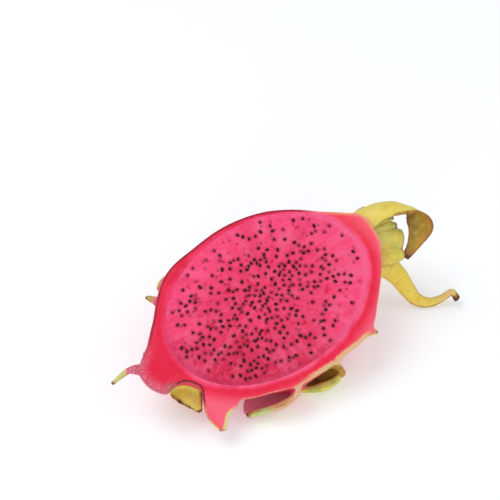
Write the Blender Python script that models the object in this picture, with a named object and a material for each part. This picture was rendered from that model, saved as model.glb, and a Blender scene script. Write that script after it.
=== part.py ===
"""Dragon fruit, one half as cut: a peel with its bracts, and the seeded flesh in it.

The half is modelled in the fruit's own frame: x runs from the stem end to the crown,
y across the cut face and z out of it, so the cut face is the plane z = 0. An empty
then tilts the fruit to the way it lies, with its cut face up and to the front.
"""

import math
import random

import bmesh
import bpy
from mathutils import Matrix, Vector

MM = 0.001

# How the half lies
ROLL = math.radians(30)
CROWN_LIFT = math.radians(10)
FACE_HEIGHT = 34.6 * MM
TILT = Matrix.Rotation(-CROWN_LIFT, 3, "Y") @ Matrix.Rotation(ROLL, 3, "X")

# The body's outline from stem end to crown, in mm: place along the fruit, half-outline
# of the cut face on the far side and on the near side, and depth under the face
BODY_STATIONS = [
    (-60.0, 0.5, -3.0, 2.5),
    (-58.6, 3.4, -7.4, 7.0),
    (-54.5, 6.0, -11.6, 12.0),
    (-49.5, 9.0, -10.6, 16.5),
    (-44.0, 15.3, -12.2, 20.5),
    (-37.0, 23.2, -22.5, 25.0),
    (-28.0, 29.4, -30.6, 29.5),
    (-14.0, 33.2, -35.3, 33.0),
    (2.0, 34.6, -37.2, 34.3),
    (18.0, 32.2, -37.2, 33.5),
    (32.0, 26.4, -34.4, 30.0),
    (43.0, 18.6, -25.0, 24.5),
    (51.5, 12.8, -15.3, 18.0),
    (56.5, 9.3, -8.0, 12.0),
    (58.2, 5.0, -3.5, 7.0),
]
RINGS_PER_STATION = 2
BODY_SIDES = 40

# The flesh, an ellipsoid
PULP_CENTRE = Vector((2.7, -0.3, 0.0)) * MM
PULP_RADII = Vector((46.5, 32.5, 30.0)) * MM
PULP_SIDES = 44
PULP_RINGS = 20
PULP_RECESS = 0.6 * MM
FIT_GAP = 0.15 * MM

# Seeds that stand out of the cut flesh
SEED_COUNT = 250
SEED_LENGTH = 2.2 * MM
SEED_WIDTH = 1.4 * MM
SEED_RISE = 0.45 * MM
SEED_DIP = 0.1 * MM
SEED_SPACING = 2.2 * MM
SEED_SIDES = 5
SEED_FIELD = 0.94
SEED_CLUMPS = 24
CLUMP_SPREAD = 0.1
LOOSE_SEEDS = 0.12
SEED_RANDOM = 11

# Bract blades
BLADE_STEPS = 8
BLADE_COLUMNS = 4
BLADE_EDGE = 0.7 * MM
MEASURE_STEP = 0.02

# Each bract is a list of stations from its root to its tip. A station holds a point of
# its spine, its half-width and its thickness there, in mm, and where its outer side faces.
# The number ahead of them is how far its edges curl in, as a share of its half-width.
RIM_BRACTS = {
    "near_fin": (0.1, [
        ((-30, -18, -1), 15, 22, (-0.8, 0.6, 0)),
        ((-37.8, -25.8, -1), 12, 15, (-0.8, 0.6, 0)),
        ((-41.6, -30.6, -1), 7.5, 9.6, (-0.8, 0.5, 0)),
        ((-43.3, -36.7, -1), 2, 2.8, (-0.9, 0.4, 0)),
    ]),
    "corner_fin": (0.15, [
        ((23, -24, -2), 11, 18, (0.8, -0.5, 0)),
        ((27.5, -30, -2), 9, 13, (0.8, -0.5, 0)),
        ((31.5, -34.5, -2), 5, 6, (0.9, -0.4, 0)),
        ((34.4, -37.4, -2), 1.2, 1, (1, -0.3, 0)),
    ]),
    "stem_thread": (0.25, [
        ((-53, -2, -6), 4.5, 3, (0, 0.3, 1)),
        ((-57.5, 2.5, -4), 2.8, 1.6, (0, 0.3, 1)),
        ((-62, 4.8, -3), 1.6, 1, (0, 0.2, 1)),
        ((-66.7, 4.6, -3), 1, 0.9, (0, 0.2, 1)),
        ((-71, 4, -4), 0.7, 0.8, (0, 0.2, 1)),
    ]),
    "stem_scale": (0.25, [
        ((-45, 4, -7), 5, 3, (-0.3, 1, 0.3)),
        ((-49.5, 7.6, -5.5), 3.8, 1.8, (-0.3, 1, 0.3)),
        ((-53.5, 8, -5), 1.2, 1, (-0.3, 1, 0.3)),
    ]),
    "notch_bract": (-0.1, [
        ((-42, -6.5, -13), 8.5, 4, (0.1, -0.3, -1)),
        ((-45.2, -13, -9.5), 7.3, 2.2, (0.1, -0.2, -1)),
        ((-45.6, -19, -8.5), 4.4, 1.5, (0, -0.2, -1)),
        ((-45.9, -24.8, -8), 1, 1, (0, -0.3, -1)),
    ]),
    "near_gutter": (0.3, [
        ((-2, -33, -12), 6.5, 4, (0, -0.6, -0.8)),
        ((-9, -37, -13.2), 8, 2.6, (0, -0.7, -0.7)),
        ((-16.5, -36, -13.5), 8, 1.8, (0, -0.7, -0.7)),
        ((-23.5, -35.5, -12.5), 7, 1.5, (0, -0.7, -0.7)),
        ((-30, -36, -9.5), 2, 1.1, (0, -0.7, -0.7)),
    ]),
    "near_curl": (0.35, [
        ((-2, -27, -19), 8, 4, (0, -0.5, -0.9)),
        ((3, -36.4, -19.8), 10, 2.6, (0.1, -0.6, -0.8)),
        ((9.2, -39.7, -17.6), 8.7, 1.7, (0.1, -0.6, -0.8)),
        ((13.3, -42, -14.5), 6, 1.2, (0.1, -0.6, -0.8)),
        ((15.8, -44.5, -11.5), 1.2, 0.9, (0.1, -0.6, -0.8)),
    ]),
    "gutter_wall": (0.0, [
        ((-3, -30, -4), 6, 9, (0.9, -0.3, 0)),
        ((-5.5, -36.2, -4), 5.5, 5, (0.9, -0.3, 0)),
        ((-9.5, -40.2, -4.5), 5, 3, (0.7, -0.7, 0)),
        ((-15, -40.8, -5.5), 4.6, 3.4, (0.1, -1, 0)),
        ((-21, -39.6, -6.5), 3.8, 3.2, (-0.3, -1, 0)),
        ((-26.5, -37.6, -8), 2.4, 2.8, (-0.4, -0.9, 0)),
        ((-30.3, -36.4, -9.6), 1.4, 1.8, (-0.4, -0.9, 0)),
    ]),
    "curl_wall": (0.0, [
        ((2, -31, -5), 6, 7, (0.6, 0.8, 0)),
        ((8.5, -35.5, -5), 6, 4.6, (0.6, 0.8, 0)),
        ((11.8, -38.6, -5.5), 6, 3, (0.8, 0.5, 0)),
        ((13.6, -41.6, -7.5), 4.4, 1.6, (0.9, 0.1, 0)),
        ((13.8, -44, -10), 2.4, 1.4, (0.9, -0.3, 0)),
    ]),
    "curl_lip": (0.0, [
        ((-5, -35, -17), 3.4, 4, (0, -1, 0)),
        ((-1.5, -40.5, -14), 3, 3, (-0.3, -0.9, 0)),
        ((4, -43.2, -12.3), 2.8, 4, (-0.1, -1, 0)),
        ((9.2, -44.2, -11), 2.6, 3.8, (0.1, -1, 0)),
        ((13.2, -43.2, -9.8), 2.2, 2.4, (0.5, -0.8, 0)),
    ]),
    "far_scale": (0.25, [
        ((-21, 25, -9), 6, 4, (-0.2, 1, 0.1)),
        ((-25.5, 29.3, -7), 4.5, 2.2, (-0.3, 1, 0.1)),
        ((-30, 30, -6.5), 2.8, 1.4, (-0.5, 1, 0.1)),
        ((-33.5, 28, -7), 1, 0.9, (-0.7, 1, 0)),
    ]),
    "far_point": (0.25, [
        ((-29, 17, -18), 7, 4, (-0.5, 0.4, -0.6)),
        ((-32.5, 21.5, -15.5), 4.6, 2.2, (-0.6, 0.4, -0.6)),
        ((-35.5, 25, -13.5), 2.6, 1.4, (-0.6, 0.3, -0.6)),
        ((-38, 28.6, -13), 0.8, 0.9, (-0.6, 0.3, -0.6)),
    ]),
}

# Two bracts that stand on the surface and keep the half from rolling
PROP_BRACTS = {
    "rear_prop": (0.25, [
        ((-16, 6, -29), 9, 6, (-0.4, 1, -0.2)),
        ((-12, 6.5, -34.5), 8, 3.6, (-0.4, 1, -0.2)),
        ((-8.5, 6, -39), 5.5, 2.4, (-0.4, 1, -0.2)),
        ((-6, 4.5, -43), 2.5, 1.8, (-0.4, 1, -0.2)),
    ]),
    "front_prop": (0.25, [
        ((12, -19, -26), 9, 6, (0.3, -0.8, -0.8)),
        ((17, -22.5, -28.5), 8, 3.4, (0.3, -0.8, -0.8)),
        ((21, -24.5, -30.8), 5.5, 2.2, (0.2, -0.8, -0.8)),
        ((24.5, -25, -33), 2.5, 1.8, (0, -0.8, -0.8)),
    ]),
}

# Bracts round the crown, which the knife passed by
CROWN_BRACTS = {
    "crown_arch": (0.2, [
        ((47, 8.5, -8), 8, 4, (-0.1, 0.6, 0.8)),
        ((57, 6.8, -5.5), 6.5, 2.4, (-0.1, 0.5, 0.85)),
        ((65, 6.4, -2.8), 5.2, 1.8, (0, 0.5, 0.85)),
        ((73, 3.2, -1.4), 4.6, 1.5, (0.2, 0.6, 0.75)),
        ((79.4, -1.6, -3.2), 5.2, 1.3, (0.6, 0.7, 0.3)),
        ((80, -8.2, -8.5), 5.8, 1.2, (0.7, 0.6, -0.3)),
        ((75, -12.8, -14.5), 3.2, 1.1, (0.5, 0.5, -0.7)),
        ((69, -15.8, -18.5), 1.6, 1, (0.45, 0.5, -0.7)),
    ]),
    "crown_fold_upper": (0.25, [
        ((48, 4.5, -8), 4.5, 3, (-0.2, 0.2, 1)),
        ((58, 4.2, -5), 3.4, 2, (-0.2, 0.3, 1)),
        ((65, 2.8, -4.6), 2.7, 1.5, (-0.2, 0.3, 1)),
        ((70.5, 0.6, -5.6), 1, 0.9, (-0.2, 0.3, 1)),
    ]),
    "crown_fold_lower": (0.25, [
        ((48, 1.5, -9), 4.5, 3, (-0.2, 0, 1)),
        ((58, 1.8, -6.5), 3.4, 2, (-0.2, 0.1, 1)),
        ((65, -0.2, -6.2), 2.7, 1.5, (-0.2, 0.1, 1)),
        ((70.5, -2.8, -7.2), 1, 0.9, (-0.2, 0.1, 1)),
    ]),
    "crown_stub": (0.3, [
        ((47, -3, -10), 8, 4, (-0.2, -0.1, 1)),
        ((57.5, -3.2, -7.5), 6, 3, (-0.2, -0.1, 1)),
        ((64, -5.8, -6.6), 5.6, 2.4, (-0.1, -0.1, 1)),
        ((69.8, -9.2, -7.4), 4.4, 1.8, (0.1, -0.1, 1)),
    ]),
    "crown_tongue": (0.3, [
        ((47, -8, -13), 7, 4, (-0.2, -0.3, 1)),
        ((55, -9.8, -10.5), 4.8, 3, (-0.2, -0.3, 1)),
        ((61, -12.6, -9.6), 4.4, 2.4, (-0.1, -0.3, 1)),
        ((67, -14.8, -10.6), 2.4, 1.4, (0, -0.3, 1)),
    ]),
    "crown_droop": (0.35, [
        ((48, -9, -15), 7, 4, (-0.1, -0.5, 1)),
        ((57.5, -14, -15), 5.6, 2.4, (-0.1, -0.4, 1)),
        ((62, -20.5, -20), 4.6, 1.8, (-0.3, -0.4, 1)),
        ((64.5, -27, -26), 3.8, 1.6, (-0.3, -0.3, 1)),
        ((66.5, -33, -29.5), 3, 1.4, (-0.3, 0, 1)),
        ((70.8, -37.2, -29.8), 2.2, 1.2, (-0.2, 0.2, 1)),
        ((76.5, -38.8, -28.2), 1.7, 1.1, (-0.2, 0.3, 1)),
        ((81.2, -39, -26.5), 1.6, 1.3, (0, 0.3, 1)),
        ((82.6, -43, -28), 1.6, 1.6, (0.6, 0.2, 0.8)),
    ]),
    "crown_rear": (0.25, [
        ((46, 6, -14), 8, 4, (0, 1, -0.2)),
        ((54, 9, -15), 7, 2.4, (-0.1, 1, -0.2)),
        ((61, 12, -17), 4.5, 1.6, (0, 1, -0.1)),
        ((67, 13, -21), 1, 1, (0.2, 1, 0)),
    ]),
    "crown_under": (0.25, [
        ((46, -4, -17), 8, 4, (0, -0.2, -1)),
        ((54, -5, -21), 7, 2.4, (0.1, -0.2, -1)),
        ((61, -5.5, -26), 5, 1.6, (0.3, -0.2, -1)),
        ((66, -5.5, -32), 1, 1, (0.5, -0.2, -1)),
    ]),
    "crown_heart": (0.25, [
        ((50, 2, -12), 6, 4, (0, 0.2, 1)),
        ((60, 1, -13), 4.5, 2, (0, 0.2, 1)),
        ((68, -2, -15), 3, 1.4, (0.2, 0.2, 1)),
        ((74, -3, -19), 0.9, 0.9, (0.4, 0.2, 1)),
    ]),
}

# Bracts that point to the crown over the skin under the cut face, by place along the fruit
# in mm, place around it in degrees from the far rim down, length and half-width in mm, and
# the degrees that they stand off the skin
UNDERSIDE_BRACTS = [
    (4, 28, 20, 8.0, 10),
    (33, 50, 17, 7.0, 10),
    (-42, 62, 15, 6.5, 26),
    (16, 74, 19, 8.0, 18),
    (40, 92, 17, 7.0, 22),
    (-30, 104, 16, 7.5, 12),
    (-48, 126, 13, 6.0, 30),
    (30, 140, 14, 6.5, 12),
]
ROOT_DEPTH = 2.0 * MM
ROOT_RUN = 4.0 * MM
LEAST_HEIGHT = 1.2 * MM
TIP_HALF_WIDTH = 0.8
UNDERSIDE_CUP = 0.25
UNDERSIDE_THICKNESSES = (5, 3, 1.8, 0.9)

# Half the side of the blocks that cut the fruit, in mm
CUT_REACH = 150
CUT_HEIGHT = 100
SHARP_ANGLE = math.radians(40)

PEEL_COLOUR = (0.78, 0.06, 0.13, 1.0)
FLESH_COLOUR = (0.83, 0.05, 0.16, 1.0)


def clear_scene():
    for obj in list(bpy.data.objects):
        bpy.data.objects.remove(obj, do_unlink=True)


def along(values, place):
    """Smooth value at place 0 to 1 through evenly spaced values, floats or vectors."""
    spans = len(values) - 1
    first = min(int(place * spans), spans - 1)
    rest = place * spans - first
    start, end = values[first], values[first + 1]
    before = values[max(first - 1, 0)]
    after = values[min(first + 2, spans)]
    leave, arrive = (end - before) * 0.5, (after - start) * 0.5
    bend = (end - start) * 3 - leave * 2 - arrive
    close = (start - end) * 2 + leave + arrive
    return start + leave * rest + bend * rest**2 + close * rest**3


def height(point):
    """Height over the surface that the fruit lies on."""
    return (TILT @ point).z + FACE_HEIGHT


def station(place):
    return along([Vector(row) for row in BODY_STATIONS], place) * MM


def skin(place, angle):
    """Point of the body's skin: angle 0 is the far rim, 90 degrees the deepest line."""
    row = station(place)
    middle, half = (row[1] + row[2]) / 2, (row[1] - row[2]) / 2
    return Vector((row[0], middle + half * math.cos(angle), -row[3] * math.sin(angle)))


def station_place(distance):
    """Place 0 to 1 of the station that lies at a distance along the fruit."""
    low, high = 0.0, 1.0
    for _ in range(30):
        middle = (low + high) / 2
        if station(middle)[0] < distance:
            low = middle
        else:
            high = middle
    return low


def new_object(name, mesh_tool, material=None):
    """Object from a bmesh, triangulated, with its faces pointing out."""
    bmesh.ops.recalc_face_normals(mesh_tool, faces=mesh_tool.faces)
    bmesh.ops.triangulate(mesh_tool, faces=mesh_tool.faces)
    mesh = bpy.data.meshes.new(name)
    mesh_tool.to_mesh(mesh)
    mesh_tool.free()
    obj = bpy.data.objects.new(name, mesh)
    bpy.context.scene.collection.objects.link(obj)
    if material:
        mesh.materials.append(material)
    return obj


def bridge(mesh_tool, rings):
    """Closed skin over rings of points, whose two ends are filled with strips across them."""
    rows = [[mesh_tool.verts.new(point) for point in ring] for ring in rings]
    count = len(rows[0])
    for near, far in zip(rows, rows[1:]):
        for i in range(count):
            j = (i + 1) % count
            mesh_tool.faces.new((near[i], near[j], far[j], far[i]))
    for end in (rows[0], rows[-1]):
        for i in range(count // 2 - 1):
            mesh_tool.faces.new((end[i], end[i + 1], end[count - 2 - i], end[count - 1 - i]))


def make_body(material):
    mesh_tool = bmesh.new()
    count = (len(BODY_STATIONS) - 1) * RINGS_PER_STATION
    turns = [2 * math.pi * (i + 0.5) / BODY_SIDES for i in range(BODY_SIDES)]
    rings = [[skin(i / count, turn) for turn in turns] for i in range(count + 1)]
    bridge(mesh_tool, rings)
    return new_object("peel", mesh_tool, material)


def blade_ring(stations, cup, place):
    """Section of a blade: its outer face, then its inner face back again."""
    spines, halves, thicknesses, facings = zip(*stations)
    behind = along(spines, max(place - MEASURE_STEP, 0.0))
    ahead = along(spines, min(place + MEASURE_STEP, 1.0))
    run = (ahead - behind).normalized()
    side = run.cross(along(facings, place)).normalized()
    outward = side.cross(run)
    middle = along(spines, place)
    half, thick = along(halves, place), along(thicknesses, place)
    ring = []
    for layer in (1, -1):
        for i in range(BLADE_COLUMNS):
            across = layer * (2 * i / (BLADE_COLUMNS - 1) - 1)
            depth = BLADE_EDGE + (thick - BLADE_EDGE) * (1 - across**2)
            rise = layer * depth / 2 - cup * half * across**2
            ring.append(middle + side * half * across + outward * rise)
    return ring


def make_blade(name, group, stations, cup):
    """Thick pointed blade through a bract's stations, kept in a group."""
    mesh_tool = bmesh.new()
    places = [i / BLADE_STEPS for i in range(BLADE_STEPS + 1)]
    bridge(mesh_tool, [blade_ring(stations, cup, place) for place in places])
    obj = new_object(name, mesh_tool)
    bpy.context.scene.collection.objects.unlink(obj)
    group.objects.link(obj)


def make_listed_bracts(group, bracts):
    for name, (cup, rows) in bracts.items():
        stations = [
            (Vector(spine) * MM, half * MM, thick * MM, Vector(facing).normalized())
            for spine, half, thick, facing in rows]
        make_blade(name, group, stations, cup)


def underside_spine(foot, forward, outward, length, lean):
    """Four points of a bract that leaves the skin at its foot and clears the ground."""
    reach = (forward * math.cos(lean) + outward * math.sin(lean)) * length
    spine = [
        foot - outward * ROOT_DEPTH - forward * ROOT_RUN,
        foot + reach * 0.3 - outward * ROOT_DEPTH * 0.3,
        foot + reach * 0.7,
        foot + reach + outward * length * 0.12,
    ]
    for point in spine[1:]:
        lift = max(LEAST_HEIGHT - height(point), 0.0)
        point += TILT.transposed() @ Vector((0, 0, lift))
    return spine


def make_underside_bracts(group):
    for index, (distance, around, length, half, stand) in enumerate(UNDERSIDE_BRACTS):
        place, angle = station_place(distance * MM), math.radians(around)
        foot = skin(place, angle)
        forward = (skin(place + MEASURE_STEP, angle) - foot).normalized()
        sideways = (skin(place, angle + MEASURE_STEP) - foot).normalized()
        outward = forward.cross(sideways).normalized()
        if outward.dot(foot) < 0:
            outward.negate()
        spine = underside_spine(foot, forward, outward, length * MM, math.radians(stand))
        halves = [half, half * 0.95, half * 0.6, TIP_HALF_WIDTH]
        stations = [
            (point, wide * MM, thick * MM, outward)
            for point, wide, thick in zip(spine, halves, UNDERSIDE_THICKNESSES)]
        make_blade(f"underside_bract_{index + 1}", group, stations, UNDERSIDE_CUP)


def make_box(name, low, high):
    """Cutter in the fruit's frame, from its lowest to its highest corner in mm."""
    mesh_tool = bmesh.new()
    bmesh.ops.create_cube(mesh_tool, size=1.0)
    low, high = Vector(low) * MM, Vector(high) * MM
    for vert in mesh_tool.verts:
        vert.co = (low + high) / 2 + Vector(
            [corner * (end - start) for corner, start, end in zip(vert.co, low, high)])
    return new_object(name, mesh_tool)


def make_ground():
    """Cutter for what would reach under the surface that the fruit lies on."""
    ground = make_box("ground", (-CUT_REACH, -CUT_REACH, -CUT_HEIGHT), (CUT_REACH, CUT_REACH, 0))
    for vert in ground.data.vertices:
        vert.co = TILT.transposed() @ (vert.co - Vector((0, 0, FACE_HEIGHT)))
    return ground


def make_ellipsoid(name, grow, material=None):
    """The flesh's own form, larger all round by grow."""
    mesh_tool = bmesh.new()
    bmesh.ops.create_uvsphere(mesh_tool, u_segments=PULP_SIDES, v_segments=PULP_RINGS, radius=1.0)
    for vert in mesh_tool.verts:
        vert.co = PULP_CENTRE + Vector(
            [value * (radius + grow) for value, radius in zip(vert.co, PULP_RADII)])
    return new_object(name, mesh_tool, material)


def seed_places():
    """Seed centres on the cut flesh, in clumps, and closest round two hearts near its middle."""
    draw = random.Random(SEED_RANDOM)
    clumps = [(0.25, 0.12, 0.24), (-0.15, -0.1, 0.26)]
    for _ in range(SEED_CLUMPS):
        clumps.append((draw.uniform(-0.8, 0.8), draw.uniform(-0.8, 0.8), CLUMP_SPREAD))
    places = []
    while len(places) < SEED_COUNT:
        x, y = draw.uniform(-1, 1), draw.uniform(-1, 1)
        crowd = sum(math.exp(-((x - u) ** 2 + (y - v) ** 2) / spread**2) for u, v, spread in clumps)
        wanted = draw.random() < LOOSE_SEEDS + (1 - LOOSE_SEEDS) * crowd
        spot = Vector((x * PULP_RADII.x, y * PULP_RADII.y, 0)) * SEED_FIELD
        apart = all((spot - other).length > SEED_SPACING for other in places)
        if x * x + y * y < 1 and wanted and apart:
            places.append(spot)
    return places


def make_seeds():
    """Drop-shaped seeds, each half sunk in the flesh."""
    draw = random.Random(SEED_RANDOM + 1)
    mesh_tool = bmesh.new()
    for spot in seed_places():
        turn = math.atan2(spot.y, spot.x) + draw.uniform(-1.2, 1.2)
        middle = PULP_CENTRE + spot - Vector((0, 0, PULP_RECESS + SEED_DIP))
        scale = draw.uniform(0.75, 1.0)
        ring = []
        for i in range(SEED_SIDES):
            angle = 2 * math.pi * i / SEED_SIDES
            corner = Vector((math.cos(angle) * SEED_LENGTH, math.sin(angle) * SEED_WIDTH, 0)) / 2
            ring.append(mesh_tool.verts.new(middle + Matrix.Rotation(turn, 3, "Z") @ corner * scale))
        for rise in (SEED_RISE + SEED_DIP, -SEED_RISE):
            peak = mesh_tool.verts.new(middle + Vector((0, 0, rise)))
            for i in range(SEED_SIDES):
                mesh_tool.faces.new((ring[i], ring[(i + 1) % SEED_SIDES], peak))
    return new_object("seeds", mesh_tool)


def combine(obj, operation, operand):
    """Boolean with an object or with all the objects of a collection."""
    modifier = obj.modifiers.new(operation.lower(), "BOOLEAN")
    modifier.operation = operation
    modifier.solver = "EXACT"
    if isinstance(operand, bpy.types.Collection):
        modifier.operand_type = "COLLECTION"
        modifier.collection = operand
    else:
        modifier.object = operand


def settle(obj, operands):
    """Apply an object's modifiers, then remove what they used."""
    evaluated = obj.evaluated_get(bpy.context.evaluated_depsgraph_get())
    mesh = bpy.data.meshes.new_from_object(evaluated)
    obj.modifiers.clear()
    obj.data = mesh
    for operand in operands:
        used = [operand]
        if isinstance(operand, bpy.types.Collection):
            used = list(operand.objects)
        for other in used:
            bpy.data.objects.remove(other, do_unlink=True)
    obj.data.shade_smooth()
    obj.data.set_sharp_from_angle(angle=SHARP_ANGLE)


def make_group(name):
    group = bpy.data.collections.new(name)
    bpy.context.scene.collection.children.link(group)
    return group


def make_material(name, colour, roughness):
    material = bpy.data.materials.new(name)
    material.use_nodes = True
    shader = material.node_tree.nodes["Principled BSDF"]
    shader.inputs["Base Color"].default_value = colour
    shader.inputs["Roughness"].default_value = roughness
    shader.inputs["Metallic"].default_value = 0.0
    return material


def make_peel():
    peel = make_body(make_material("pitaya_peel", PEEL_COLOUR, 0.4))
    cut_bracts, whole_bracts = make_group("cut_bracts"), make_group("whole_bracts")
    make_listed_bracts(cut_bracts, RIM_BRACTS)
    make_listed_bracts(cut_bracts, PROP_BRACTS)
    make_underside_bracts(cut_bracts)
    make_listed_bracts(whole_bracts, CROWN_BRACTS)
    knife = make_box("knife", (-CUT_REACH, -CUT_REACH, 0), (CUT_REACH, CUT_REACH, CUT_HEIGHT))
    space = make_ellipsoid("pulp_space", FIT_GAP)
    ground = make_ground()
    combine(peel, "UNION", cut_bracts)
    combine(peel, "DIFFERENCE", knife)
    combine(peel, "UNION", whole_bracts)
    combine(peel, "DIFFERENCE", space)
    combine(peel, "DIFFERENCE", ground)
    settle(peel, [cut_bracts, whole_bracts, knife, space, ground])
    return peel


def make_flesh():
    flesh = make_ellipsoid("flesh", -FIT_GAP, make_material("pitaya_flesh", FLESH_COLOUR, 0.3))
    knife = make_box(
        "flesh_knife", (-CUT_REACH, -CUT_REACH, -PULP_RECESS / MM), (CUT_REACH, CUT_REACH, CUT_HEIGHT))
    seeds = make_seeds()
    combine(flesh, "DIFFERENCE", knife)
    combine(flesh, "UNION", seeds)
    settle(flesh, [knife, seeds])
    return flesh


def lay_down(pieces):
    """Tilt the half and put its lowest point and its middle at the origin."""
    rest = bpy.data.objects.new("rest", None)
    bpy.context.scene.collection.objects.link(rest)
    corners = [TILT @ vert.co for piece in pieces for vert in piece.data.vertices]
    low = Vector([min(corner[i] for corner in corners) for i in range(3)])
    high = Vector([max(corner[i] for corner in corners) for i in range(3)])
    rest.rotation_euler = TILT.to_euler()
    rest.location = (-(low.x + high.x) / 2, -(low.y + high.y) / 2, -low.z)
    for piece in pieces:
        piece.parent = rest


def main():
    clear_scene()
    lay_down([make_peel(), make_flesh()])


main()
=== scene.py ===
"""Half a dragon fruit, cut lengthwise, for Blender 4.5: rind, bracts, pulp and seeds.

Everything is modelled in the fruit's own frame, in millimetres: x runs from the stem
end to the crown, y across the cut face and z out of it. The last step of each piece
tilts it to the way the half lies and turns it to metres.
"""

import math
import random

import bmesh
import bpy
import numpy as np
from mathutils import Matrix, Vector, kdtree, noise


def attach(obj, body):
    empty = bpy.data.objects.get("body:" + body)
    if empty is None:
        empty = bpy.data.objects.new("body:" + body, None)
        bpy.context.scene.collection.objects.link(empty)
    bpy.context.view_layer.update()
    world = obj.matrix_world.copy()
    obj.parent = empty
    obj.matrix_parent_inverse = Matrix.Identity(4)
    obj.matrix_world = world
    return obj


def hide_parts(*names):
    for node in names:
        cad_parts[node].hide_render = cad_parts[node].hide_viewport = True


bl_info = {
    "name": "Dragon Fruit Half",
    "version": (1, 0, 0),
    "blender": (4, 5, 0),
    "location": "3D View > Sidebar > Fruit",
    "description": "Builds a cut dragon fruit with its bracts, pulp and seeds",
    "category": "Object",
}

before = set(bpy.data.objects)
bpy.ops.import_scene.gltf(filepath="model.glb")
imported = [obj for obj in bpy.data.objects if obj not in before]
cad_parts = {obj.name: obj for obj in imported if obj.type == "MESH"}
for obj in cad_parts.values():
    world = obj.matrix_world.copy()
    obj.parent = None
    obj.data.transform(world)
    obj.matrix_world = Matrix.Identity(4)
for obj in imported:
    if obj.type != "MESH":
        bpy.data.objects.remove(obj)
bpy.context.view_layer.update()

MM = 0.001

# How the half lies
ROLL = math.radians(30)
CROWN_LIFT = math.radians(10)
FACE_HEIGHT = 34.6
TILT = Matrix.Rotation(-CROWN_LIFT, 3, "Y") @ Matrix.Rotation(ROLL, 3, "X")

# Body stations from stem end to crown: place along the fruit, outline of the cut face on
# its far side and on its near side, and depth under the face
BODY_STATIONS = [
    (-60.0, 0.5, -3.0, 2.5),
    (-58.6, 3.4, -7.4, 7.0),
    (-54.5, 6.0, -11.6, 12.0),
    (-49.5, 9.0, -10.6, 16.5),
    (-44.0, 15.3, -12.2, 20.5),
    (-37.0, 23.2, -22.5, 25.0),
    (-28.0, 29.4, -30.6, 29.5),
    (-14.0, 33.2, -35.3, 33.0),
    (2.0, 34.6, -37.2, 34.3),
    (18.0, 32.2, -37.2, 33.5),
    (32.0, 26.4, -34.4, 30.0),
    (43.0, 18.6, -25.0, 24.5),
    (51.5, 12.8, -15.3, 18.0),
    (56.5, 9.3, -8.0, 12.0),
    (58.2, 5.0, -3.5, 7.0),
]
BODY_RINGS = 170
BODY_SIDES = 200
PLACE_STEPS = 2001
OUTSIDE_STEPS = 600

PULP_CENTRE = np.array((2.7, -0.3, 0.0))
PULP_RADII = np.array((46.5, 32.5, 30.0))

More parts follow.
